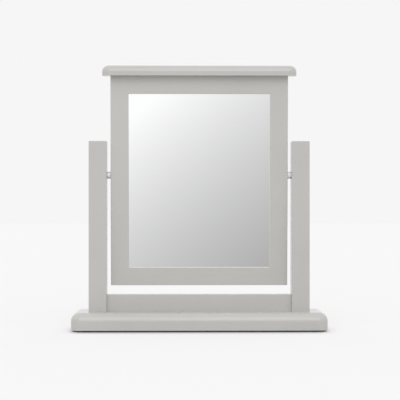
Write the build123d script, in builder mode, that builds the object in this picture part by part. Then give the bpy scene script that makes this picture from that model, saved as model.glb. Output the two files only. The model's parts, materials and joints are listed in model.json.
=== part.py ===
from build123d import *
import os

# Dressing table mirror: a framed glass with a moulded cap that tilts between two
# posts on a base board. Millimetres. X runs to the right, Y to the back, Z up.
# The origin is on the table top, under the middle of the base.

# Mirror frame
frame_width = 366
frame_height = 433
member_width = 37
member_thickness = 22
inner_edge_radius = 1
outer_edge_radius = 1

# Glass and what holds it, from the front to the back
glass_thickness = 4
glass_lap = 8
glass_edge_gap = 1
glass_arris = 0.6
strip_thickness = 7
strip_width = 12
strip_gap = 0.5
board_thickness = 3
board_setback = 3
board_lap = 16
board_edge_gap = 0.5

# Moulded cap on the top rail
cap_overhang = 17
cap_thickness = 21
cap_top_radius = 13
cap_corner_radius = 16
cap_bottom_radius = 0.5

# Posts
post_size = 37
post_above_pivot = 70.5
post_edge_radius = 1.5

# Base board and the pads under it
base_thickness = 35.5
base_depth = 130
base_end_margin = 34
base_top_radius = 17
base_corner_radius = 20
base_bottom_radius = 1
pad_diameter = 24
pad_thickness = 3
pad_edge_margin = 14

# Stretcher rail between the feet of the posts
stretcher_height = 34.5
stretcher_thickness = 22
stretcher_edge_radius = 1.5
stretcher_clearance = 18.5

# Pivots: the mirror turns on a bolt at each side, and leans forward at rest, in degrees
pivot_rise = 228
mirror_lean = 3
pivot_gap = 8
bolt_diameter = 6
bolt_head_diameter = 11
bolt_head_height = 4
bolt_key_size = 4
bolt_key_depth = 2.4
bolt_end_gap = 1
bolt_edge = 0.5
spring_washer_diameter = 12
spring_washer_thickness = 0.6
spring_washer_height = 1
bush_wall = 1.6
bush_flange_diameter = 14
bush_flange_thickness = 1.2
spacer_diameter = 14
spacer_edge = 0.5
insert_diameter = 10
insert_length = 14
plug_diameter = 14
plug_thickness = 3
plug_edge = 0.4
plug_gap = 0.6

# Dowels
dowel_diameter = 8
dowel_edge = 0.8
dowel_end_gap = 1
mitre_dowel_length = 24
mitre_dowel_setback = 19
mitre_dowel_pitch = 15
cap_dowel_length = 26
cap_dowel_pitch = 130
cap_dowel_depth = 11
stretcher_dowel_length = 34
stretcher_dowel_pitch = 18

# Countersunk wood screws, with a cross recess sized by the head
foot_screw_diameter = 5
foot_screw_head = 10
foot_screw_length = 60
foot_screw_pitch = 18
stretcher_screw_pitch = 110
stretcher_screw_count = 3
board_screw_diameter = 3
board_screw_head = 6
board_screw_length = 10
board_screw_end = 50
stile_screw_count = 3
rail_screw_count = 2
recess_share = 0.55
recess_width_share = 0.16
tip_share = 0.15

# Clearance round a turning shaft, at a turning face, and round a dowel, a screw or a sleeve
fit_gap = 0.05
hole_end_gap = 1

# Heights
base_bottom = pad_thickness
base_top = base_bottom + base_thickness
stretcher_top = base_top + stretcher_height
frame_bottom = stretcher_top + stretcher_clearance
frame_top = frame_bottom + frame_height
frame_middle = frame_bottom + frame_height / 2
pivot_height = frame_bottom + pivot_rise
post_top = pivot_height + post_above_pivot

# Widths, measured from the middle
frame_side = frame_width / 2
post_inner = frame_side + pivot_gap
post_middle = post_inner + post_size / 2
post_outer = post_inner + post_size
base_width = 2 * (post_outer + base_end_margin)

# Depths: the frame and the posts share the pivot line as their middle. The mirror's pieces
# are made upright, and then lean together.
frame_front_y = -member_thickness / 2
frame_back_y = member_thickness / 2
board_back_y = frame_back_y - board_setback
board_front_y = board_back_y - board_thickness
strip_front_y = board_front_y - strip_thickness
glass_front_y = strip_front_y - glass_thickness

# Openings, each larger than the one in front of it
opening_width = frame_width - 2 * member_width
opening_height = frame_height - 2 * member_width
glass_width = opening_width + 2 * (glass_lap - glass_edge_gap)
glass_height = opening_height + 2 * (glass_lap - glass_edge_gap)
board_width = opening_width + 2 * (board_lap - board_edge_gap)
board_height = opening_height + 2 * (board_lap - board_edge_gap)

# Pivot parts, measured out from the middle along the pivot line
plug_seat = post_outer - plug_thickness
head_face = plug_seat - plug_gap
head_seat = head_face - bolt_head_height
recess_floor = head_seat - spring_washer_height
flange_face = post_inner - bush_flange_thickness
spacer_end = flange_face - fit_gap
insert_end = frame_side - insert_length
bolt_end = insert_end + bolt_end_gap
bore_radius = bolt_diameter / 2 + fit_gap
bush_diameter = 2 * (bore_radius + bush_wall)

SIDES = (("left", -1), ("right", 1))
PIVOT_LINE = Axis((0, 0, pivot_height), (1, 0, 0))
# Looks at the front, with X to the right and Z up. Its origin is on the pivot line.
TURNING_PLANE = Plane(origin=(0, 0, pivot_height), x_dir=(1, 0, 0), z_dir=(0, -1, 0))

os.makedirs("parts", exist_ok=True)


def front_plane(y):
    """The upright plane at depth y, centred on the frame, with Z up."""
    return Plane(origin=(0, y, frame_middle), x_dir=(1, 0, 0), z_dir=(0, -1, 0))


def spread(count, pitch):
    """Places of a row of equal steps, centred on zero."""
    return [pitch * (i - (count - 1) / 2) for i in range(count)]


def turn(points, side):
    """Turns a profile about the pivot line. Each point is (distance from the middle, radius)."""
    with BuildSketch(TURNING_PLANE) as profile:
        with BuildLine():
            Polyline([(side * x, radius) for x, radius in points], close=True)
        make_face()
    revolve(profile.sketch, axis=PIVOT_LINE)


def lean(piece):
    """Leans an upright piece of the mirror on the pivots. It ends the block that builds the piece."""
    add(piece.part.rotate(PIVOT_LINE, mirror_lean), clean=False, mode=Mode.REPLACE)


def wood_screws(places, diameter, head, length):
    """Countersunk screws. Each place is a plane on the head, facing away from the wood."""
    head_height = (head - diameter) / 2
    hanging = (Align.CENTER, Align.CENTER, Align.MAX)
    with Locations(*places):
        Cylinder(diameter / 2, length - diameter, align=hanging)
        Cone(diameter / 2, head / 2, head_height, align=hanging)
        with Locations((0, 0, diameter - length)):
            Cone(diameter * tip_share / 2, diameter / 2, diameter, align=hanging)
        for angle in (0, 90):
            Box(head * recess_share, head * recess_width_share, head_height,
                rotation=(0, 0, angle), align=hanging, mode=Mode.SUBTRACT)


def screw_holes(places, diameter, head, length):
    """Cuts the seats of such screws into the part that is being built."""
    with Locations(*places):
        CounterSinkHole(diameter / 2 + fit_gap, head / 2 + fit_gap,
                        depth=length + hole_end_gap, counter_sink_angle=90)


def dowels(places, length):
    """Dowels with eased ends, each centred on its place and along its Z axis."""
    with Locations(*places):
        Cylinder(dowel_diameter / 2, length)
    chamfer(edges().filter_by(GeomType.CIRCLE), dowel_edge)


def dowel_holes(places, length):
    """Cuts the holes of such dowels into the part that is being built."""
    with Locations(*places):
        Cylinder(dowel_diameter / 2 + fit_gap, length + 2 * dowel_end_gap, mode=Mode.SUBTRACT)


# Places of the screws under the base, each facing down
post_screw_places = [
    Plane(origin=(side * post_middle, y, base_bottom), z_dir=(0, 0, -1))
    for _, side in SIDES
    for y in spread(2, foot_screw_pitch)
]
stretcher_screw_places = [
    Plane(origin=(x, 0, base_bottom), z_dir=(0, 0, -1))
    for x in spread(stretcher_screw_count, stretcher_screw_pitch)
]

# Places of the dowels between the stretcher rail and the posts, on the joint faces
stretcher_dowel_places = [
    Plane(origin=(side * post_inner, 0, base_top + stretcher_height / 2 + z), z_dir=(side, 0, 0))
    for _, side in SIDES
    for z in spread(2, stretcher_dowel_pitch)
]

# Places of the dowels between the cap and the top rail
cap_dowel_places = [
    Plane(origin=(x, 0, frame_top + cap_dowel_depth - cap_dowel_length / 2))
    for x in spread(3, cap_dowel_pitch)
]

# Places of the back board's screws, on the ledge of the board's rebate, facing back
ledge_x = opening_width / 2 + (glass_lap + board_lap) / 2
ledge_z = opening_height / 2 + (glass_lap + board_lap) / 2
stile_screw_pitch = (opening_height - 2 * board_screw_end) / (stile_screw_count - 1)
rail_screw_pitch = (opening_width - 2 * board_screw_end) / (rail_screw_count - 1)
board_screw_spots = [
    (side * ledge_x, z) for _, side in SIDES for z in spread(stile_screw_count, stile_screw_pitch)
] + [
    (x, side * ledge_z) for _, side in SIDES for x in spread(rail_screw_count, rail_screw_pitch)
]
board_screw_places = [
    Plane(origin=(x, board_back_y, frame_middle + z), z_dir=(0, 1, 0)) for x, z in board_screw_spots
]


# Base board
with BuildPart() as base_board:
    with BuildSketch(Plane.XY.offset(base_bottom)):
        RectangleRounded(base_width, base_depth, base_corner_radius)
    extrude(amount=base_thickness)
    fillet(base_board.faces().sort_by(Axis.Z)[-1].edges(), base_top_radius)
    fillet(base_board.faces().sort_by(Axis.Z)[0].edges(), base_bottom_radius)
    screw_holes(post_screw_places + stretcher_screw_places,
                foot_screw_diameter, foot_screw_head, foot_screw_length)
base_board.part.label = "base_board"
export_step(base_board.part, "parts/base_board.step")


# Foot pads, one near each corner
with BuildPart() as foot_pads:
    with BuildSketch(Plane.XY):
        with GridLocations(base_width - 2 * pad_edge_margin - pad_diameter,
                           base_depth - 2 * pad_edge_margin - pad_diameter, 2, 2):
            Circle(pad_diameter / 2)
    extrude(amount=pad_thickness)
foot_pads.part.label = "foot_pads"
export_step(foot_pads.part, "parts/foot_pads.step")


# Posts, each bored for its pivot from the outer face
for side_name, side in SIDES:
    with BuildPart() as post:
        with BuildSketch(Plane.XY.offset(base_top)):
            with Locations((side * post_middle, 0)):
                Rectangle(post_size, post_size)
        extrude(amount=post_top - base_top)
        fillet(post.edges().filter_by(Axis.Z) + post.faces().sort_by(Axis.Z)[-1].edges(),
               post_edge_radius)
        with Locations(Plane(origin=(side * post_outer, 0, pivot_height), z_dir=(side, 0, 0))):
            CounterBoreHole(bush_diameter / 2 + fit_gap, plug_diameter / 2 + fit_gap,
                            post_outer - recess_floor)
        screw_holes(post_screw_places, foot_screw_diameter, foot_screw_head, foot_screw_length)
        dowel_holes(stretcher_dowel_places, stretcher_dowel_length)
    post.part.label = f"{side_name}_post"
    export_step(post.part, f"parts/{side_name}_post.step")


# Stretcher rail
with BuildPart() as stretcher_rail:
    with BuildSketch(Plane.XY.offset(base_top)):
        Rectangle(2 * post_inner, stretcher_thickness)
    extrude(amount=stretcher_height)
    fillet(stretcher_rail.faces().sort_by(Axis.Z)[-1].edges().filter_by(Axis.X),
           stretcher_edge_radius)
    screw_holes(stretcher_screw_places, foot_screw_diameter, foot_screw_head, foot_screw_length)
    dowel_holes(stretcher_dowel_places, stretcher_dowel_length)
stretcher_rail.part.label = "stretcher_rail"
export_step(stretcher_rail.part, "parts/stretcher_rail.step")

with BuildPart() as stretcher_dowels:
    dowels(stretcher_dowel_places, stretcher_dowel_length)
stretcher_dowels.part.label = "stretcher_dowels"
export_step(stretcher_dowels.part, "parts/stretcher_dowels.step")

with BuildPart() as post_screws:
    wood_screws(post_screw_places, foot_screw_diameter, foot_screw_head, foot_screw_length)
post_screws.part.label = "post_screws"
export_step(post_screws.part, "parts/post_screws.step")

with BuildPart() as stretcher_screws:
    wood_screws(stretcher_screw_places, foot_screw_diameter, foot_screw_head, foot_screw_length)
stretcher_screws.part.label = "stretcher_screws"
export_step(stretcher_screws.part, "parts/stretcher_screws.step")


# Pivots
for side_name, side in SIDES:
    # Flanged sleeve in the post, its flange against the inner face
    with BuildPart() as bush:
        turn([
            (flange_face, bore_radius),
            (recess_floor, bore_radius),
            (recess_floor, bush_diameter / 2),
            (post_inner, bush_diameter / 2),
            (post_inner, bush_flange_diameter / 2),
            (flange_face, bush_flange_diameter / 2),
        ], side)
    bush.part.label = f"{side_name}_bush"
    export_step(bush.part, f"parts/{side_name}_bush.step")

    # Bolt through the post, screwed into the stile, with a hexagon socket in its head
    with BuildPart() as bolt:
        turn([
            (bolt_end, 0),
            (bolt_end, bolt_diameter / 2 - bolt_edge),
            (bolt_end + bolt_edge, bolt_diameter / 2),
            (head_seat, bolt_diameter / 2),
            (head_seat, bolt_head_diameter / 2),
            (head_face - bolt_edge, bolt_head_diameter / 2),
            (head_face, bolt_head_diameter / 2 - bolt_edge),
            (head_face, 0),
        ], side)
        with BuildSketch(Plane(origin=(side * head_face, 0, pivot_height), z_dir=(side, 0, 0))):
            RegularPolygon(bolt_key_size / 2, 6, major_radius=False)
        extrude(amount=-bolt_key_depth, mode=Mode.SUBTRACT)
    bolt.part.label = f"{side_name}_pivot_bolt"
    export_step(bolt.part, f"parts/{side_name}_pivot_bolt.step")

    # Coned spring washer, its rim on the floor of the recess and its bore under the bolt head
    with BuildPart() as spring_washer:
        turn([
            (recess_floor, spring_washer_diameter / 2),
            (recess_floor + spring_washer_thickness, spring_washer_diameter / 2),
            (head_seat, bore_radius),
            (head_seat - spring_washer_thickness, bore_radius),
        ], side)
    spring_washer.part.label = f"{side_name}_spring_washer"
    export_step(spring_washer.part, f"parts/{side_name}_spring_washer.step")

    # Spacer on the stile, which turns just clear of the bush's flange
    with BuildPart() as spacer:
        turn([
            (frame_side, bore_radius),
            (frame_side, spacer_diameter / 2 - spacer_edge),
            (frame_side + spacer_edge, spacer_diameter / 2),
            (spacer_end - spacer_edge, spacer_diameter / 2),
            (spacer_end, spacer_diameter / 2 - spacer_edge),
            (spacer_end, bore_radius),
        ], side)
    spacer.part.label = f"{side_name}_pivot_spacer"
    export_step(spacer.part, f"parts/{side_name}_pivot_spacer.step")

    # Threaded insert in the edge of the stile
    with BuildPart() as insert_nut:
        turn([
            (insert_end, bore_radius),
            (frame_side, bore_radius),
            (frame_side, insert_diameter / 2),
            (insert_end, insert_diameter / 2),
        ], side)
    insert_nut.part.label = f"{side_name}_insert_nut"
    export_step(insert_nut.part, f"parts/{side_name}_insert_nut.step")

    # Plug over the bolt head, flush with the post
    with BuildPart() as cover_plug:
        turn([
            (plug_seat, 0),
            (plug_seat, plug_diameter / 2),
            (post_outer - plug_edge, plug_diameter / 2),
            (post_outer, plug_diameter / 2 - plug_edge),
            (post_outer, 0),
        ], side)
    cover_plug.part.label = f"{side_name}_cover_plug"
    export_step(cover_plug.part, f"parts/{side_name}_cover_plug.step")


def mitre_plane(side, end, towards):
    """The plane of one corner's mitre, facing the rail (1) or the stile (-1).

    Its origin is the outer corner, and its X axis runs in along the mitre.
    """
    corner = (side * frame_side, 0, frame_middle + end * frame_height / 2)
    return Plane(origin=corner, x_dir=(-side, 0, -end), z_dir=(-side * towards, 0, end * towards))


def mitre_dowel_places(side, end):
    """Places of one corner's dowels, across its mitre."""
    joint = mitre_plane(side, end, 1)
    return [
        Plane(origin=joint.from_local_coords((mitre_dowel_setback + i * mitre_dowel_pitch, 0, 0)),
              z_dir=joint.z_dir)
        for i in range(2)
    ]


corner_dowel_places = [
    place for _, side in SIDES for end in (-1, 1) for place in mitre_dowel_places(side, end)
]


def is_eased(edge):
    """Whether an edge of the frame's ring is an outer one that the cap doesn't cover."""
    middle = edge.center()
    on_outside = abs(middle.X) > frame_side - fit_gap or middle.Z < frame_bottom + fit_gap
    return on_outside and middle.Z < frame_top - fit_gap


def frame_member(corners, towards):
    """One side of the mitred frame, cut from the whole moulded ring.

    The corners are the (side, end) of its two mitres.
    """
    with BuildPart() as member:
        with BuildSketch(front_plane(frame_front_y)):
            Rectangle(frame_width, frame_height)
            Rectangle(opening_width, opening_height, mode=Mode.SUBTRACT)
        extrude(amount=-member_thickness)
        fillet(member.faces().sort_by(Axis.Y)[0].inner_wires()[0].edges(), inner_edge_radius)
        fillet(member.edges().filter_by(is_eased), outer_edge_radius)
        with BuildSketch(front_plane(glass_front_y)):
            Rectangle(opening_width + 2 * glass_lap, opening_height + 2 * glass_lap)
        extrude(amount=glass_front_y - frame_back_y, mode=Mode.SUBTRACT)
        with BuildSketch(front_plane(board_front_y)):
            Rectangle(opening_width + 2 * board_lap, opening_height + 2 * board_lap)
        extrude(amount=board_front_y - frame_back_y, mode=Mode.SUBTRACT)
        for side, end in corners:
            split(bisect_by=mitre_plane(side, end, towards), keep=Keep.TOP)
        dowel_holes(corner_dowel_places, mitre_dowel_length)
        dowel_holes(cap_dowel_places, cap_dowel_length)
        with Locations(*[
            Plane(origin=(side * frame_side, 0, pivot_height), z_dir=(side, 0, 0))
            for _, side in SIDES
        ]):
            Hole(insert_diameter / 2 + fit_gap, insert_length)
        screw_holes(board_screw_places, board_screw_diameter, board_screw_head, board_screw_length)
        lean(member)
    return member


# Stiles of the mirror frame
for side_name, side in SIDES:
    stile = frame_member([(side, -1), (side, 1)], -1)
    stile.part.label = f"frame_{side_name}_stile"
    export_step(stile.part, f"parts/frame_{side_name}_stile.step")

# Rails of the mirror frame
for end_name, end in (("bottom", -1), ("top", 1)):
    rail = frame_member([(-1, end), (1, end)], 1)
    rail.part.label = f"frame_{end_name}_rail"
    export_step(rail.part, f"parts/frame_{end_name}_rail.step")

with BuildPart() as frame_dowels:
    dowels(corner_dowel_places, mitre_dowel_length)
    lean(frame_dowels)
frame_dowels.part.label = "frame_dowels"
export_step(frame_dowels.part, "parts/frame_dowels.step")


# Moulded cap, rounded over along the top of all four sides
with BuildPart() as top_cap:
    with BuildSketch(Plane.XY.offset(frame_top)):
        RectangleRounded(frame_width + 2 * cap_overhang, member_thickness + 2 * cap_overhang,
                         cap_corner_radius)
    extrude(amount=cap_thickness)
    fillet(top_cap.faces().sort_by(Axis.Z)[-1].edges(), cap_top_radius)
    fillet(top_cap.faces().sort_by(Axis.Z)[0].edges(), cap_bottom_radius)
    dowel_holes(cap_dowel_places, cap_dowel_length)
    lean(top_cap)
top_cap.part.label = "top_cap"
export_step(top_cap.part, "parts/top_cap.step")

with BuildPart() as cap_dowels:
    dowels(cap_dowel_places, cap_dowel_length)
    lean(cap_dowels)
cap_dowels.part.label = "cap_dowels"
export_step(cap_dowels.part, "parts/cap_dowels.step")


# Mirror glass, with its cut edges rubbed down
with BuildPart() as mirror_glass:
    with BuildSketch(front_plane(glass_front_y)):
        Rectangle(glass_width, glass_height)
    extrude(amount=-glass_thickness)
    chamfer(mirror_glass.faces().sort_by(Axis.Y)[0].edges()
            + mirror_glass.faces().sort_by(Axis.Y)[-1].edges(), glass_arris)
    lean(mirror_glass)
mirror_glass.part.label = "mirror_glass"
export_step(mirror_glass.part, "parts/mirror_glass.step")


# Backing strips round the edge of the glass
with BuildPart() as backing_strips:
    with BuildSketch(front_plane(strip_front_y)):
        with GridLocations(glass_width - strip_width, 0, 2, 1):
            Rectangle(strip_width, glass_height)
        with GridLocations(0, glass_height - strip_width, 1, 2):
            Rectangle(glass_width - 2 * (strip_width + strip_gap), strip_width)
    extrude(amount=-strip_thickness)
    lean(backing_strips)
backing_strips.part.label = "backing_strips"
export_step(backing_strips.part, "parts/backing_strips.step")


# Back board, screwed into its rebate
with BuildPart() as back_board:
    with BuildSketch(front_plane(board_front_y)):
        Rectangle(board_width, board_height)
    extrude(amount=-board_thickness)
    screw_holes(board_screw_places, board_screw_diameter, board_screw_head, board_screw_length)
    lean(back_board)
back_board.part.label = "back_board"
export_step(back_board.part, "parts/back_board.step")

with BuildPart() as back_board_screws:
    wood_screws(board_screw_places, board_screw_diameter, board_screw_head, board_screw_length)
    lean(back_board_screws)
back_board_screws.part.label = "back_board_screws"
export_step(back_board_screws.part, "parts/back_board_screws.step")

print("base", base_width, "by", base_depth, "pivot line", pivot_height, "post top", post_top)
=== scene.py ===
import json
import math

import bmesh
import bpy
from bpy.props import FloatProperty, FloatVectorProperty, PointerProperty
from bpy.types import NodeSocket, Operator, Panel, PropertyGroup
from mathutils import Matrix, Vector


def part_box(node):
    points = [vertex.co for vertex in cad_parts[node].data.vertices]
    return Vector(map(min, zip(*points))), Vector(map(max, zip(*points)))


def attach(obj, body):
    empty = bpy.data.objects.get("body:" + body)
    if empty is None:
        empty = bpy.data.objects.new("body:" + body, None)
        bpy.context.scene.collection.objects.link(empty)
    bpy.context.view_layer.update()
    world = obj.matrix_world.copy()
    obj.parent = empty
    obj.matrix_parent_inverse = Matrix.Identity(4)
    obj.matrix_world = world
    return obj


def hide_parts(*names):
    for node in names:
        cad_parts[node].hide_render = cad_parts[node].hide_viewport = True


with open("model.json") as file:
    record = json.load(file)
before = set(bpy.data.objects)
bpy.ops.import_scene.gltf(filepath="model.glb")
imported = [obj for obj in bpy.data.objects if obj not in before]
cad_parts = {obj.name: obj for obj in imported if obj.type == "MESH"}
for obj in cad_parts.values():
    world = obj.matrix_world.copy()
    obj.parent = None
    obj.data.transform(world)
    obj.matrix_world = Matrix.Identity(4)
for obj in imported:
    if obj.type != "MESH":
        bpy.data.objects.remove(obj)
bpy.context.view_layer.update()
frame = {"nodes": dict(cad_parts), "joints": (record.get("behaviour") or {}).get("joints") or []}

# A dressing table mirror: a painted frame with a moulded cap that tilts between
# two posts on a base board. Metres. X runs to the right, Y to the back, Z up.

bl_info = {
    "name": "Dressing Table Mirror",
    "version": (1, 0, 0),
    "blender": (4, 5, 0),
    "location": "3D View > Sidebar > Mirror",
    "description": "Finishes a painted dressing table mirror and sets up its studio",
    "category": "Object",
}

NODES = frame["nodes"]
PIVOT = Vector(frame["joints"][0]["pos_m"])

# Painted pieces, by the way their timber and so the brush runs
BRUSHED_ACROSS = ("base_board", "stretcher_rail", "top_cap")
BRUSHED_UPWARDS = ("left_post", "right_post", "left_cover_plug", "right_cover_plug")
BRUSHED_ALONG_RAILS = ("frame_top_rail", "frame_bottom_rail")
BRUSHED_ALONG_STILES = ("frame_left_stile", "frame_right_stile")

SCREWS = ("post_screws", "stretcher_screws", "back_board_screws")

X, Y, Z = 0, 1, 2
WHITE = (1, 1, 1, 1)

# Vertices closer than this are one when the solids of a piece are told apart
MERGE_DISTANCE = 0.00001

# Depth over which the glass turns from silver to its cut edge, and from that to its back coat
GLASS_STEP = 0.00002

# Faces round a plain foot pad, and across the rounding of a cut edge
PAD_VERTICES = 64
CUT_EDGE_SEGMENTS = 3

# Most of what a noise gives lies between these
NOISE_LOW, NOISE_HIGH = 0.3, 0.7

# The studio that a reflection sees, by the direction in which it looks: the limits of the tone
# straight ahead, the tones at the left and at the right, the upward parts between which low
# turns into high, and the backward parts between which ahead turns into all round
AHEAD_TONES = (0.35, 1.06)
SIDE_TONES = (1.06, 0.94)
LOW_TO_HIGH = (-0.85, 0.3)
AHEAD_TO_ROUND = (-0.98, -0.88)

# Where the lamp's icon hangs. A sun shines the same from anywhere.
KEY_LAMP_PLACE = (0, -2, 2)

# The camera's sensor in millimetres, and the limits of what it sees in metres
SENSOR_WIDTH = 36
NEAREST_SEEN, FURTHEST_SEEN = 0.1, 100


# The lean of the mirror at rest

def lean_of(name):
    """The angle by which a flat piece leans forward, from the slope of its largest face."""
    normal = max(NODES[name].data.polygons, key=lambda face: face.area).normal
    return math.atan(normal.z / normal.y)


LEAN = lean_of("mirror_glass")
STAND_UPRIGHT = Matrix.Rotation(-LEAN, 3, "X")


def upright(place):
    """A place on the leaning mirror, as it is with the mirror turned upright on its pivots."""
    return PIVOT + STAND_UPRIGHT @ (place - PIVOT)


def leaned(place):
    """A place on the upright mirror, as it is with the mirror leaning at rest."""
    return PIVOT + STAND_UPRIGHT.inverted() @ (place - PIVOT)


def solids(name, turned=False):
    """The lowest and highest corner of each solid of a piece, turned upright if asked."""
    shape = bmesh.new()
    shape.from_mesh(NODES[name].data)
    bmesh.ops.remove_doubles(shape, verts=shape.verts, dist=MERGE_DISTANCE)
    unseen = set(shape.verts)
    boxes = []
    while unseen:
        reached = [unseen.pop()]
        for vert in reached:
            for edge in vert.link_edges:
                other = edge.other_vert(vert)
                if other in unseen:
                    unseen.remove(other)
                    reached.append(other)
        points = [upright(vert.co) if turned else vert.co.copy() for vert in reached]
        boxes.append(tuple(Vector(pick(point[axis] for point in points) for axis in (X, Y, Z))
                           for pick in (min, max)))
    shape.free()
    return sorted(boxes, key=lambda box: tuple(box[0]))


# Settings

def colour_setting(name, description, default):
    """A colour."""
    return FloatVectorProperty(
        name=name, description=description, subtype="COLOR", min=0, max=1, default=default)


def length_setting(name, description, default, **limits):
    """A length in metres."""
    return FloatProperty(
        name=name, description=description, unit="LENGTH", default=default, **limits)


def share_setting(name, description, default):
    """A number from 0 to 1."""
    return FloatProperty(
        name=name, description=description, subtype="FACTOR", min=0, max=1, default=default)


def range_setting(name, description, default):
    """The lowest and the highest of a number from 0 to 1."""
    return FloatVectorProperty(
        name=name, description=description, size=2, min=0, max=1, default=default)


def level_setting(name, description, default, least=0.0):
    """A brightness, or another number without an upper limit."""
    return FloatProperty(name=name, description=description, min=least, default=default)


def angle_setting(name, description, degrees, most):
    """An angle, given here in degrees."""
    return FloatProperty(name=name, description=description, unit="ROTATION",
                         min=0, max=math.radians(most), default=math.radians(degrees))


class PaintSettings(PropertyGroup):
    colour: colour_setting(
        "Paint colour", "Warm light grey of the stand and the cap", (0.480, 0.470, 0.455))
    # Painted light: a lighter, warmer copy of the same paint, against the shade on the leaning
    # frame
    frame_lit_colour: colour_setting(
        "Frame colour", "The same grey on the mirror's frame, a shade warmer",
        (0.496, 0.485, 0.460))
    roughness: share_setting(
        "Roughness", "How far the satin paint scatters a reflection", 0.14)
    roughness_range: share_setting(
        "Roughness range", "How far the brush strokes vary that roughness", 0.04)
    mottle: share_setting(
        "Mottle", "Share by which the colour drifts over a hand's width", 0.02)
    mottle_size: length_setting(
        "Mottle size", "Size of the patches over which the colour drifts", 0.11, min=0.001)
    stroke_length: length_setting(
        "Stroke length", "Length of a brush stroke", 0.09, min=0.001)
    stroke_width: length_setting(
        "Stroke width", "Width of the furrow that one bristle leaves", 0.0009, min=0.0001)
    stroke_height: length_setting(
        "Stroke height", "Height of the ridges between the furrows", 0.000004, min=0)
    grain_length: length_setting(
        "Grain length", "Length of a streak of the wood grain under the paint", 0.12, min=0.001)
    grain_width: length_setting(
        "Grain width", "Spacing of the wood grain that shows under the paint", 0.004, min=0.0001)
    grain_height: length_setting(
        "Grain height", "Height of that grain", 0.00001, min=0)


class GlassSettings(PropertyGroup):
    silver: colour_setting(
        "Silver", "Colour of the silvering seen through the glass", (0.925, 0.93, 0.928))
    edge: colour_setting(
        "Glass edge", "Green of the glass on its cut edge", (0.18, 0.33, 0.28))
    back_coat: colour_setting(
        "Back coat", "Grey paint that protects the silver", (0.22, 0.24, 0.25))
    edge_roughness: share_setting(
        "Edge roughness", "How far the cut edge and the back coat scatter a reflection", 0.3)


class MetalSettings(PropertyGroup):
    nickel: colour_setting(
        "Satin nickel", "Colour of the pivot spacers", (0.93, 0.92, 0.94))
    nickel_metallic: share_setting(
        "Nickel, metallic", "How much of the matt plate's shine is a metal's", 0.15)
    nickel_roughness: share_setting(
        "Nickel, roughness", "How far the matt plate scatters a reflection", 0.6)
    zinc: colour_setting(
        "Zinc plate", "Colour of the screws, bolts and washers", (0.62, 0.64, 0.66))
    zinc_roughness: share_setting(
        "Zinc, roughness", "How far the zinc plate scatters a reflection", 0.38)
    brass: colour_setting(
        "Brass", "Colour of the insert nuts", (0.72, 0.52, 0.24))
    brass_roughness: share_setting(
        "Brass, roughness", "How far the turned brass scatters a reflection", 0.3)
    roughness_range: share_setting(
        "Roughness range", "How far the rings of the lathe vary the roughness", 0.06)
    ring_pitch: length_setting(
        "Ring pitch", "Spacing of the rings that the lathe leaves", 0.0003, min=0.00001)
    ring_length: length_setting(
        "Ring length", "How far a ring runs before it changes", 0.02, min=0.0001)
    ring_height: length_setting(
        "Ring height", "Height of those rings", 0.000004, min=0)
    bloom: share_setting(
        "Bloom", "Share by which the plate's colour drifts", 0.05)
    bloom_size: length_setting(
        "Bloom size", "Size of the patches over which it drifts", 0.004, min=0.0001)


class NylonSettings(PropertyGroup):
    dark: colour_setting(
        "Nylon, dark", "Darker tone of the bushes", (0.70, 0.70, 0.66))
    light: colour_setting(
        "Nylon, light", "Paler tone of the bushes", (0.76, 0.76, 0.72))
    bloom_size: length_setting(
        "Bloom size", "Size of the patches of both tones", 0.006, min=0.0001)
    roughness: range_setting(
        "Roughness", "How far the darker and the paler patches scatter a reflection", (0.35, 0.5))


class BeechSettings(PropertyGroup):
    dark: colour_setting(
        "Beech, dark", "Darker tone of the dowels' grain", (0.50, 0.32, 0.17))
    light: colour_setting(
        "Beech, light", "Paler tone of the dowels' grain", (0.64, 0.44, 0.25))
    fleck: colour_setting(
        "Fleck", "Colour of the short dark flecks", (0.36, 0.21, 0.11))
    grain_length: length_setting(
        "Grain length", "Length of a streak of the grain", 0.03, min=0.001)
    grain_width: length_setting(
        "Grain width", "Spacing of the grain", 0.0012, min=0.0001)
    grain_height: length_setting(
        "Grain height", "Height of the grain", 0.00005, min=0)
    fleck_length: length_setting(
        "Fleck length", "Length of a fleck", 0.003, min=0.0001)
    fleck_width: length_setting(
        "Fleck width", "Width of a fleck", 0.0003, min=0.00001)
    fleck_threshold: range_setting(
        "Fleck threshold", "Noise at which a fleck starts, and at which it is full", (0.62, 0.7))
    roughness: range_setting(
        "Roughness", "How far the darker and the paler grain scatter a reflection", (0.55, 0.7))


class BoardSettings(PropertyGroup):
    dark: colour_setting(
        "Board, dark", "Darker tone of the back board", (0.155, 0.088, 0.048))
    light: colour_setting(
        "Board, light", "Paler tone of the back board", (0.205, 0.12, 0.067))
    strand: colour_setting(
        "Strand", "Colour of the pale strands", (0.30, 0.19, 0.11))
    patch_size: length_setting(
        "Patch size", "Size of the patches of both tones", 0.03, min=0.001)
    strand_length: length_setting(
        "Strand length", "Length of a strand", 0.0022, min=0.0001)
    strand_width: length_setting(
        "Strand width", "Width of a strand", 0.0009, min=0.0001)
    strand_height: length_setting(
        "Strand height", "Height of a strand", 0.00004, min=0)
    strand_cover: share_setting(
        "Strand cover", "Share of the board's own colour that a strand hides", 0.8)
    strand_threshold: range_setting(
        "Strand threshold", "Noise at which a strand starts, and at which it is full",
        (0.5, 0.75))
    roughness: range_setting(
        "Roughness", "How far the board and its strands scatter a reflection", (0.42, 0.6))


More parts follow.
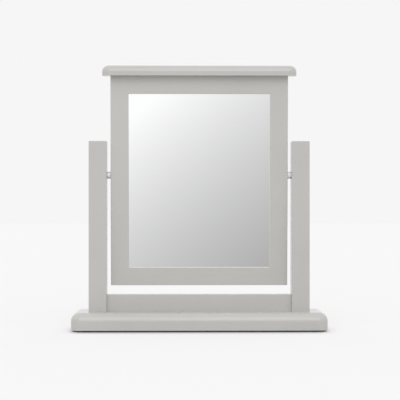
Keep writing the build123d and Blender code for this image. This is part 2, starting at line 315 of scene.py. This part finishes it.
class FeltSettings(PropertyGroup):
    pad_dark: colour_setting(
        "Pad, dark", "Colour between the fibres of the foot pads", (0.008, 0.008, 0.008))
    pad_light: colour_setting(
        "Pad, light", "Colour of the fibres of the foot pads", (0.03, 0.03, 0.03))
    strip_dark: colour_setting(
        "Strip, dark", "Colour between the fibres of the backing strips", (0.12, 0.12, 0.12))
    strip_light: colour_setting(
        "Strip, light", "Colour of the fibres of the backing strips", (0.24, 0.24, 0.23))
    cut_edge: length_setting(
        "Cut edge", "Rounding of a felt piece's cut edges", 0.0006, min=0)
    tuft_size: length_setting(
        "Tuft size", "Size of the matted tufts", 0.0022, min=0.0001)
    tuft_height: length_setting(
        "Tuft height", "Depth of the hollows between the tufts", 0.0003, min=0)
    fibre_size: length_setting(
        "Fibre size", "Spacing of the fibres", 0.0006, min=0.00001)
    fibre_height: length_setting(
        "Fibre height", "Relief of the fibres", 0.0003, min=0)
    clump_size: length_setting(
        "Clump size", "Size of the patches of duller fibres", 0.004, min=0.0001)
    roughness: range_setting(
        "Roughness", "How far the fibres scatter a reflection, at least and at most", (0.85, 1.0))
    pad_mesh: length_setting(
        "Pad mesh", "Size of the faces of a foot pad", 0.0007, min=0.0001)
    strip_mesh: length_setting(
        "Strip mesh", "Size of the faces of a backing strip", 0.0012, min=0.0001)


class StageSettings(PropertyGroup):
    camera_distance: length_setting(
        "Camera distance", "From the lens to the middle of the mirror", 2.675, min=0.5)
    camera_height: length_setting(
        "Camera height", "Height of the lens above the table", 0.2681, min=0)
    camera_side: length_setting(
        "Camera side", "How far the lens stands to the right of the mirror's middle", -0.04)
    camera_aim: length_setting(
        "Camera aim", "Where the lens points, to the right of the mirror's middle", 0.0017)
    camera_lens: FloatProperty(
        name="Lens", description="Focal length", subtype="DISTANCE_CAMERA", min=10, default=116)
    backdrop: colour_setting(
        "Backdrop", "Pale grey of the floor and the backdrop", (0.9216, 0.9216, 0.9216))
    floor_size: length_setting(
        "Floor size", "Length of the floor's sides", 24, min=1)
    floor_bounce: share_setting(
        "Floor bounce", "Share of the light that the floor throws back up", 0.62)
    floor_seen: share_setting(
        "Floor seen", "Brightness of the floor's own colour in the picture", 0.83)
    floor_glow: share_setting(
        "Floor glow", "Share of even backdrop in the floor, away from the base", 0.6)
    contact_reach: length_setting(
        "Contact reach", "How far from the base the floor keeps its full shadow", 0.018, min=0)
    # Painted shade: how dark the floor's colour is painted right at the base
    painted_shadow_tone: share_setting(
        "Contact tone", "Share of its brightness that the floor keeps at the base", 0.62)
    side_inset: length_setting(
        "Side inset", "How far short of the base's ends that shadow starts to fade", 0.025, min=0)
    dome_light: level_setting(
        "Dome light", "Even light from all round", 1.05)
    key_light: level_setting(
        "Key light", "Strength of the large lamp in front", 0.65)
    key_elevation: angle_setting(
        "Key elevation", "Height of that lamp above the horizon", 34, most=90)
    key_size: angle_setting(
        "Key size", "Angle that the lamp spans, which softens its shadow", 42, most=180)
    studio_tone: level_setting(
        "Studio tone", "Brightness of the studio straight ahead of the mirror", 1.11, least=0.01)
    studio_fall: level_setting(
        "Studio fall", "How fast that studio gets darker to the right", 3.26)
    studio_rise: level_setting(
        "Studio rise", "How fast that studio gets brighter upwards", 4.12)
    studio_low: level_setting(
        "Studio, low", "Brightness of the studio low down, seen at a slant", 0.5)
    studio_high: level_setting(
        "Studio, high", "Brightness of the studio high up, seen at a slant", 1.0)


class MirrorSettings(PropertyGroup):
    paint: PointerProperty(type=PaintSettings)
    glass: PointerProperty(type=GlassSettings)
    metal: PointerProperty(type=MetalSettings)
    nylon: PointerProperty(type=NylonSettings)
    beech: PointerProperty(type=BeechSettings)
    board: PointerProperty(type=BoardSettings)
    felt: PointerProperty(type=FeltSettings)
    stage: PointerProperty(type=StageSettings)


# Building blocks for materials

def emptied(owner):
    """The node tree of a new material or world, with nothing in it."""
    owner.use_nodes = True
    owner.node_tree.nodes.clear()
    return owner.node_tree


def new_material(name):
    """A new material and its empty node tree."""
    material = bpy.data.materials.new(name)
    return material, emptied(material)


def add_node(tree, kind, inputs=None, **settings):
    """Adds a node, with its settings and with values or links for its inputs."""
    node = tree.nodes.new(kind)
    for name, value in settings.items():
        setattr(node, name, value)
    for socket, value in (inputs or {}).items():
        if isinstance(value, NodeSocket):
            tree.links.new(value, node.inputs[socket])
        else:
            node.inputs[socket].default_value = value
    return node


def finished(material, inputs):
    """Ends a material with one Principled shader, whose even values are on its own sockets."""
    shader = add_node(material.node_tree, "ShaderNodeBsdfPrincipled", inputs)
    add_node(material.node_tree, "ShaderNodeOutputMaterial", {"Surface": shader.outputs["BSDF"]})
    return material


def number_math(tree, operation, *values):
    """What an operation makes of numbers."""
    return add_node(tree, "ShaderNodeMath", dict(enumerate(values)),
                    operation=operation).outputs["Value"]


def vector_math(tree, operation, *values, result="Vector"):
    """What an operation makes of vectors."""
    return add_node(tree, "ShaderNodeVectorMath", dict(enumerate(values)),
                    operation=operation).outputs[result]


def axes_of(tree, vector):
    """The parts of a vector, under X, Y and Z."""
    return add_node(tree, "ShaderNodeSeparateXYZ", {"Vector": vector}).outputs


def mixed(tree, share, first, second):
    """Two shaders, of which a share from 0 to 1 is the second."""
    return add_node(tree, "ShaderNodeMixShader", {
        "Fac": share, 1: first, 2: second}).outputs["Shader"]


def places(tree, leaning=False):
    """Object coordinates, turned upright about the pivots for a piece that leans."""
    here = add_node(tree, "ShaderNodeTexCoord").outputs["Object"]
    if not leaning:
        return here
    return add_node(tree, "ShaderNodeMapping", {
        "Vector": here, "Rotation": (-LEAN, 0, 0),
        "Location": PIVOT - STAND_UPRIGHT @ PIVOT}).outputs["Vector"]


def cell_on(axis, along, across):
    """The size of a cell that differs along one axis from across it."""
    return [along if n == axis else across for n in (X, Y, Z)]


def noise(tree, cell, detail=3.0, roughness=0.5, distortion=0.0, leaning=False):
    """Cloudy noise from 0 to 1 whose cells have the given size."""
    cells = add_node(tree, "ShaderNodeMapping", {
        "Vector": places(tree, leaning), "Scale": [1 / size for size in cell]})
    return add_node(tree, "ShaderNodeTexNoise", {
        "Vector": cells.outputs["Vector"], "Scale": 1.0, "Detail": detail,
        "Roughness": roughness, "Distortion": distortion}).outputs["Fac"]


def spread(tree, value, low=0, high=1, start=NOISE_LOW, end=NOISE_HIGH, easing="LINEAR"):
    """A value from start to end, mapped to one from low to high."""
    return add_node(tree, "ShaderNodeMapRange", {
        "Value": value, "From Min": start, "From Max": end,
        "To Min": low, "To Max": high}, interpolation_type=easing).outputs["Result"]


def varied(tree, value, middle, reach):
    """A number that noise moves to both sides of its middle."""
    return spread(tree, value, middle - reach, middle + reach)


def shaded(tree, share, first, second):
    """Two colours, each given as numbers or a link, of which a share is the second."""
    colours = [colour if isinstance(colour, NodeSocket) else (*colour, 1)
               for colour in (first, second)]
    return add_node(tree, "ShaderNodeMix", {"Factor": share, "A": colours[0], "B": colours[1]},
                    data_type="RGBA").outputs["Result"]


def drifting(tree, value, colour, share):
    """A colour that noise makes darker or lighter by a share."""
    dark, light = ([min(1.0, part * scale) for part in colour]
                   for scale in (1 - share, 1 + share))
    return shaded(tree, spread(tree, value), dark, light)


def relief(tree, value, height, below=None):
    """A bump of the given height in metres, laid over another one if there is one."""
    bump = add_node(tree, "ShaderNodeBump", {"Height": value, "Distance": height, "Strength": 1.0})
    if below is not None:
        tree.links.new(below, bump.inputs["Normal"])
    return bump.outputs["Normal"]


def finish(names, material):
    """Puts a material on pieces of the frame."""
    for name in names:
        slots = NODES[name].material_slots
        if not slots:
            NODES[name].data.materials.append(material)
        for slot in slots:
            slot.material = material


# Finishes

def satin_paint(name, settings, colour, axis, leaning=False):
    """Brushed satin paint over planed timber, with the strokes and the grain along one axis."""
    material, tree = new_material(name)
    strokes = noise(tree, cell_on(axis, settings.stroke_length, settings.stroke_width),
                    detail=4.0, roughness=0.6, leaning=leaning)
    grain = noise(tree, cell_on(axis, settings.grain_length, settings.grain_width),
                  detail=5.0, roughness=0.55, distortion=0.4, leaning=leaning)
    mottle = noise(tree, [settings.mottle_size] * 3, detail=2.0)
    timber = relief(tree, grain, settings.grain_height)
    return finished(material, {
        "Base Color": drifting(tree, mottle, colour, settings.mottle),
        "Roughness": varied(tree, strokes, settings.roughness, settings.roughness_range),
        "Normal": relief(tree, strokes, settings.stroke_height, timber),
        "IOR": 1.5})


def silvered_glass(settings):
    """Silver behind clear glass, with a green cut edge and a painted back."""
    front, back = solids("mirror_glass", turned=True)[0]
    material, tree = new_material("silvered_glass")
    depth = axes_of(tree, places(tree, leaning=True))["Y"]
    is_edge = spread(tree, depth, 0, 1, front.y + GLASS_STEP, front.y + 2 * GLASS_STEP)
    is_back = spread(tree, depth, 0, 1, back.y - 2 * GLASS_STEP, back.y - GLASS_STEP)
    coat = shaded(tree, is_back, settings.edge, settings.back_coat)
    return finished(material, {
        "Base Color": shaded(tree, is_edge, settings.silver, coat),
        "Metallic": spread(tree, is_edge, 1, 0, 0, 1),
        "Roughness": spread(tree, is_edge, 0, settings.edge_roughness, 0, 1),
        "IOR": 1.52})


def turned_metal(name, settings, colour, roughness, metallic=1.0):
    """Plated metal with the fine rings of a lathe round the X axis."""
    material, tree = new_material(name)
    rings = noise(tree, cell_on(X, settings.ring_pitch, settings.ring_length), roughness=0.7)
    bloom = noise(tree, [settings.bloom_size] * 3)
    return finished(material, {
        "Base Color": drifting(tree, bloom, colour, settings.bloom),
        "Metallic": metallic,
        "Roughness": varied(tree, rings, roughness, settings.roughness_range),
        "Normal": relief(tree, rings, settings.ring_height)})


def moulded_nylon(settings):
    """Natural nylon with a faint moulding bloom."""
    material, tree = new_material("natural_nylon")
    bloom = noise(tree, [settings.bloom_size] * 3)
    return finished(material, {
        "Base Color": shaded(tree, spread(tree, bloom), settings.dark, settings.light),
        "Roughness": spread(tree, bloom, *settings.roughness),
        "IOR": 1.53})


def plain_beech(name, settings, axis):
    """Unfinished beech with short dark flecks along its grain."""
    material, tree = new_material(name)
    grain = noise(tree, cell_on(axis, settings.grain_length, settings.grain_width),
                  detail=5.0, roughness=0.6)
    flecks = noise(tree, cell_on(axis, settings.fleck_length, settings.fleck_width), detail=1.0)
    wood = shaded(tree, spread(tree, grain), settings.dark, settings.light)
    is_fleck = spread(tree, flecks, 0, 1, *settings.fleck_threshold)
    return finished(material, {
        "Base Color": shaded(tree, is_fleck, wood, settings.fleck),
        "Roughness": spread(tree, grain, *settings.roughness),
        "Normal": relief(tree, grain, settings.grain_height),
        "IOR": 1.45})


def pressed_board(settings):
    """Hardboard: brown fibres pressed smooth, in two tones, with paler strands."""
    material, tree = new_material("pressed_hardboard")
    clouds = noise(tree, [settings.patch_size] * 3, detail=4.0, roughness=0.6)
    strands = noise(tree, cell_on(Z, settings.strand_width, settings.strand_length),
                    detail=6.0, roughness=0.75, distortion=1.5)
    board = shaded(tree, spread(tree, clouds), settings.dark, settings.light)
    cover = spread(tree, strands, 0, settings.strand_cover, *settings.strand_threshold)
    return finished(material, {
        "Base Color": shaded(tree, cover, board, settings.strand),
        "Roughness": spread(tree, strands, *settings.roughness),
        "Normal": relief(tree, strands, settings.strand_height),
        "IOR": 1.48})


def pressed_felt(name, settings, dark, light):
    """Felt of short matted fibres."""
    material, tree = new_material(name)
    fibres = noise(tree, [settings.fibre_size] * 3, detail=6.0, roughness=0.8, distortion=2.0)
    clumps = noise(tree, [settings.clump_size] * 3)
    return finished(material, {
        "Base Color": shaded(tree, spread(tree, fibres), dark, light),
        "Roughness": spread(tree, clumps, *settings.roughness),
        "Normal": relief(tree, fibres, settings.fibre_height),
        "Sheen Weight": 0.4,
        "Sheen Roughness": 0.6})


# Modelled pieces

def start_piece():
    """Leaves nothing selected, so that what follows acts on the new piece alone."""
    if bpy.context.object and bpy.context.object.mode == "EDIT":
        bpy.ops.object.mode_set(mode="OBJECT")
    bpy.ops.object.select_all(action="DESELECT")


def add_modifier(piece, kind, **settings):
    """Adds a modifier and applies it."""
    modifier = piece.modifiers.new(kind.lower(), kind)
    for name, value in settings.items():
        setattr(modifier, name, value)
    bpy.ops.object.modifier_apply(modifier=modifier.name)


def press_felt(name, settings, felt, mesh_size):
    """Turns the new plain shape into felt: rounded cut edges and hollows between the tufts."""
    piece = bpy.context.object
    piece.name = piece.data.name = name
    bpy.ops.object.transform_apply(location=True, rotation=True, scale=True)
    add_modifier(piece, "BEVEL", width=settings.cut_edge, segments=CUT_EDGE_SEGMENTS,
                 limit_method="ANGLE")
    add_modifier(piece, "REMESH", mode="VOXEL", voxel_size=mesh_size)
    tufts = bpy.data.textures.new("felt_tufts", "CLOUDS")
    tufts.noise_scale = settings.tuft_size
    add_modifier(piece, "DISPLACE", texture=tufts, texture_coords="LOCAL", mid_level=1.0,
                 strength=settings.tuft_height)
    bpy.data.textures.remove(tufts)
    bpy.ops.object.shade_smooth()
    piece.data.materials.append(felt)


def dress(piece, body, node):
    """Puts a modelled piece on its body, in the place of a CAD piece."""
    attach(piece, body)
    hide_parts(node)


# Operators

class MIRROR_OT_paint_woodwork(Operator):
    """Paints the base, the posts, the frame and its cap"""
    bl_idname = "dressing_mirror.paint_woodwork"
    bl_label = "Paint the Woodwork"

    def execute(self, context):
        settings = context.scene.dressing_mirror.paint
        stand, frame_lit_tone = settings.colour, settings.frame_lit_colour
        finish(BRUSHED_ACROSS, satin_paint("paint_brushed_across", settings, stand, X))
        finish(BRUSHED_UPWARDS, satin_paint("paint_brushed_upwards", settings, stand, Z))
        # The frame takes the lighter copy of the paint, painted light for the shade its lean
        # brings
        finish(BRUSHED_ALONG_RAILS,
               satin_paint("paint_brushed_along_rails", settings, frame_lit_tone, X))
        finish(BRUSHED_ALONG_STILES,
               satin_paint("paint_brushed_along_stiles", settings, frame_lit_tone, Z, leaning=True))
        return {"FINISHED"}


class MIRROR_OT_silver_glass(Operator):
    """Silvers the mirror glass"""
    bl_idname = "dressing_mirror.silver_glass"
    bl_label = "Silver the Glass"

    def execute(self, context):
        finish(["mirror_glass"], silvered_glass(context.scene.dressing_mirror.glass))
        return {"FINISHED"}


class MIRROR_OT_plate_pivots(Operator):
    """Plates the pivots, their bolts, washers and nuts, and colours the bushes"""
    bl_idname = "dressing_mirror.plate_pivots"
    bl_label = "Plate the Pivots"

    def execute(self, context):
        settings = context.scene.dressing_mirror.metal
        nickel = turned_metal("satin_nickel", settings, settings.nickel, settings.nickel_roughness,
                              settings.nickel_metallic)
        zinc = turned_metal("zinc_plate", settings, settings.zinc, settings.zinc_roughness)
        brass = turned_metal("turned_brass", settings, settings.brass, settings.brass_roughness)
        nylon = moulded_nylon(context.scene.dressing_mirror.nylon)
        for side in ("left", "right"):
            finish([f"{side}_pivot_spacer"], nickel)
            finish([f"{side}_pivot_bolt", f"{side}_spring_washer"], zinc)
            finish([f"{side}_insert_nut"], brass)
            finish([f"{side}_bush"], nylon)
        finish(SCREWS, zinc)
        return {"FINISHED"}


class MIRROR_OT_finish_back(Operator):
    """Finishes the back board and the dowels in the joints"""
    bl_idname = "dressing_mirror.finish_back"
    bl_label = "Finish the Back and the Joints"

    def execute(self, context):
        settings = context.scene.dressing_mirror
        finish(["back_board"], pressed_board(settings.board))
        finish(["stretcher_dowels"], plain_beech("beech_across", settings.beech, X))
        finish(["frame_dowels"], plain_beech("beech_mitre", settings.beech, X))
        finish(["cap_dowels"], plain_beech("beech_upwards", settings.beech, Z))
        return {"FINISHED"}


class MIRROR_OT_cut_foot_pads(Operator):
    """Cuts the four round felt pads under the base"""
    bl_idname = "dressing_mirror.cut_foot_pads"
    bl_label = "Cut the Foot Pads"

    def execute(self, context):
        settings = context.scene.dressing_mirror.felt
        felt = pressed_felt("dark_felt", settings, settings.pad_dark, settings.pad_light)
        for number, (low, high) in enumerate(solids("foot_pads"), 1):
            size = high - low
            start_piece()
            bpy.ops.mesh.primitive_cylinder_add(
                vertices=PAD_VERTICES, radius=size.x / 2, depth=size.z, location=(low + high) / 2)
            press_felt(f"foot_pad_{number}", settings, felt, settings.pad_mesh)
            dress(context.object, "stand", "foot_pads")
        return {"FINISHED"}


class MIRROR_OT_cut_backing_strips(Operator):
    """Cuts the felt strips that press the glass forward"""
    bl_idname = "dressing_mirror.cut_backing_strips"
    bl_label = "Cut the Backing Strips"

    def execute(self, context):
        settings = context.scene.dressing_mirror.felt
        felt = pressed_felt("grey_felt", settings, settings.strip_dark, settings.strip_light)
        for number, (low, high) in enumerate(solids("backing_strips", turned=True), 1):
            start_piece()
            bpy.ops.mesh.primitive_cube_add(
                size=1, location=leaned((low + high) / 2), rotation=(LEAN, 0, 0), scale=high - low)
            press_felt(f"backing_strip_{number}", settings, felt, settings.strip_mesh)
            dress(context.object, "mirror", "backing_strips")
        return {"FINISHED"}


class MIRROR_OT_set_stage(Operator):
    """Sets up the floor, the lamps and the camera"""
    bl_idname = "dressing_mirror.set_stage"
    bl_label = "Set the Stage"

    def execute(self, context):
        settings = context.scene.dressing_mirror.stage
        lay_floor(settings)
        hang_dome(context.scene, settings)
        hang_key_lamp(context.scene, settings)
        stand_camera(context.scene, settings)
        context.scene.view_settings.view_transform = "Standard"
        return {"FINISHED"}


# Stage

def lay_floor(settings):
    """A pale floor that keeps the shadow and can't be seen from below, nor in the glass.

    Close to the base its colour is painted darker, a painted contact shadow over the real one,
    up to twice the contact reach. Further out an even glow takes over, which is full at three
    times that reach.
    """
    material, tree = new_material("pale_floor")
    lens = add_node(tree, "ShaderNodeLightPath").outputs["Is Camera Ray"]
    reach, seen = settings.contact_reach, settings.floor_seen
    distance = from_base(tree, settings.side_inset)
    # Painted shade: the floor's colour darkens towards the base, a painted contact shadow
    tone = spread(tree, distance, settings.painted_shadow_tone * seen, seen, 0, 2 * reach, "SMOOTHSTEP")
    lit = add_node(tree, "ShaderNodeBsdfDiffuse", {
        "Color": spread(tree, lens, settings.floor_bounce, tone, 0, 1)}).outputs["BSDF"]
    glow = add_node(tree, "ShaderNodeEmission", {
        "Strength": settings.backdrop[0]}).outputs["Emission"]
    away = spread(tree, distance, 0, settings.floor_glow, reach, 3 * reach, "SMOOTHSTEP")
    top = mixed(tree, number_math(tree, "MULTIPLY", away, lens), lit, glow)
    clear = add_node(tree, "ShaderNodeBsdfTransparent").outputs["BSDF"]
    is_below = add_node(tree, "ShaderNodeNewGeometry").outputs["Backfacing"]
    add_node(tree, "ShaderNodeOutputMaterial", {"Surface": mixed(tree, is_below, top, clear)})
    start_piece()
    bpy.ops.mesh.primitive_plane_add(size=settings.floor_size)
    floor = bpy.context.object
    floor.name = floor.data.name = "floor"
    floor.data.materials.append(material)
    floor.visible_glossy = False


def from_base(tree, side_inset):
    """How far a place on the floor is from the base's outline, made shorter at both ends."""
    half_width, half_depth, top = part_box("base_board")[1]
    corner = (half_width - side_inset, half_depth, top)
    past = vector_math(tree, "SUBTRACT", vector_math(tree, "ABSOLUTE", places(tree)), corner)
    outside = vector_math(tree, "MAXIMUM", past, (0, 0, 0))
    return vector_math(tree, "LENGTH", outside, result="Value")


def background(tree, colour, strength):
    """An even background."""
    return add_node(tree, "ShaderNodeBackground", {
        "Color": colour, "Strength": strength}).outputs["Background"]


def hang_dome(scene, settings):
    """Even light from all round. The lens sees the backdrop instead, a reflection the studio."""
    world = bpy.data.worlds.new("studio")
    tree = emptied(world)
    rays = add_node(tree, "ShaderNodeLightPath").outputs
    studio = background(tree, WHITE, studio_brightness(tree, settings))
    shown = background(tree, WHITE, settings.dome_light)
    shown = mixed(tree, rays["Is Glossy Ray"], shown, studio)
    shown = mixed(tree, rays["Is Transmission Ray"], shown, studio)
    shown = mixed(tree, rays["Is Camera Ray"], shown,
                  background(tree, (*settings.backdrop, 1), 1.0))
    add_node(tree, "ShaderNodeOutputWorld", {"Surface": shown})
    scene.world = world


def studio_brightness(tree, settings):
    """The brightness that a reflection finds, straight ahead of the mirror and all round it."""
    way = add_node(tree, "ShaderNodeTexCoord").outputs["Object"]
    slope = (-settings.studio_fall, -math.log(settings.studio_tone), settings.studio_rise)
    steps = vector_math(tree, "DOT_PRODUCT", way, slope, result="Value")
    graded = number_math(tree, "EXPONENT", steps)
    ahead = spread(tree, graded, *AHEAD_TONES, *AHEAD_TONES)
    axes = axes_of(tree, way)
    upwards = spread(tree, axes["Z"], settings.studio_low, settings.studio_high,
                     *LOW_TO_HIGH, "SMOOTHSTEP")
    sideways = spread(tree, axes["X"], *SIDE_TONES, -1, 1)
    around = number_math(tree, "MULTIPLY", upwards, sideways)
    return spread(tree, axes["Y"], ahead, around, *AHEAD_TO_ROUND, "SMOOTHSTEP")


def hang_key_lamp(scene, settings):
    """The large lamp above and in front of the mirror."""
    lamp = bpy.data.lights.new("key_lamp", "SUN")
    lamp.energy = settings.key_light
    lamp.angle = settings.key_size
    holder = bpy.data.objects.new("key_lamp", lamp)
    holder.rotation_euler = (math.pi / 2 - settings.key_elevation, 0, 0)
    holder.location = KEY_LAMP_PLACE
    scene.collection.objects.link(holder)


def stand_camera(scene, settings):
    """The camera, level and a little to the left."""
    camera = bpy.data.cameras.new("camera")
    camera.sensor_width = SENSOR_WIDTH
    camera.lens = settings.camera_lens
    camera.clip_start, camera.clip_end = NEAREST_SEEN, FURTHEST_SEEN
    holder = bpy.data.objects.new("camera", camera)
    holder.location = (settings.camera_side, -settings.camera_distance, settings.camera_height)
    turn = math.atan2(settings.camera_aim - settings.camera_side, settings.camera_distance)
    holder.rotation_euler = (math.pi / 2, 0, -turn)
    scene.collection.objects.link(holder)
    scene.camera = holder


# Panel and registration

OPERATORS = (
    MIRROR_OT_set_stage,
    MIRROR_OT_paint_woodwork,
    MIRROR_OT_silver_glass,
    MIRROR_OT_plate_pivots,
    MIRROR_OT_finish_back,
    MIRROR_OT_cut_foot_pads,
    MIRROR_OT_cut_backing_strips,
)


def fields(group):
    """The names of the settings in a group, or of the groups in the whole."""
    return [name for name in group.bl_rna.properties.keys() if name not in ("rna_type", "name")]


class MIRROR_PT_tools(Panel):
    """Lists the steps that finish the mirror"""
    bl_idname = "MIRROR_PT_tools"
    bl_label = "Dressing Table Mirror"
    bl_space_type = "VIEW_3D"
    bl_region_type = "UI"
    bl_category = "Mirror"

    def draw(self, context):
        settings = context.scene.dressing_mirror
        for operator in OPERATORS:
            self.layout.operator(operator.bl_idname)
        for group in (getattr(settings, name) for name in fields(settings)):
            box = self.layout.box()
            for name in fields(group):
                box.prop(group, name)


CLASSES = (PaintSettings, GlassSettings, MetalSettings, NylonSettings, BeechSettings,
           BoardSettings, FeltSettings, StageSettings, MirrorSettings, *OPERATORS,
           MIRROR_PT_tools)


def register():
    for item in CLASSES:
        bpy.utils.register_class(item)
    bpy.types.Scene.dressing_mirror = PointerProperty(type=MirrorSettings)


def unregister():
    del bpy.types.Scene.dressing_mirror
    for item in reversed(CLASSES):
        bpy.utils.unregister_class(item)


def main():
    register()
    bpy.ops.dressing_mirror.set_stage()
    bpy.ops.dressing_mirror.paint_woodwork()
    bpy.ops.dressing_mirror.silver_glass()
    bpy.ops.dressing_mirror.plate_pivots()
    bpy.ops.dressing_mirror.finish_back()
    bpy.ops.dressing_mirror.cut_foot_pads()
    bpy.ops.dressing_mirror.cut_backing_strips()


if __name__ == "__main__":
    main()
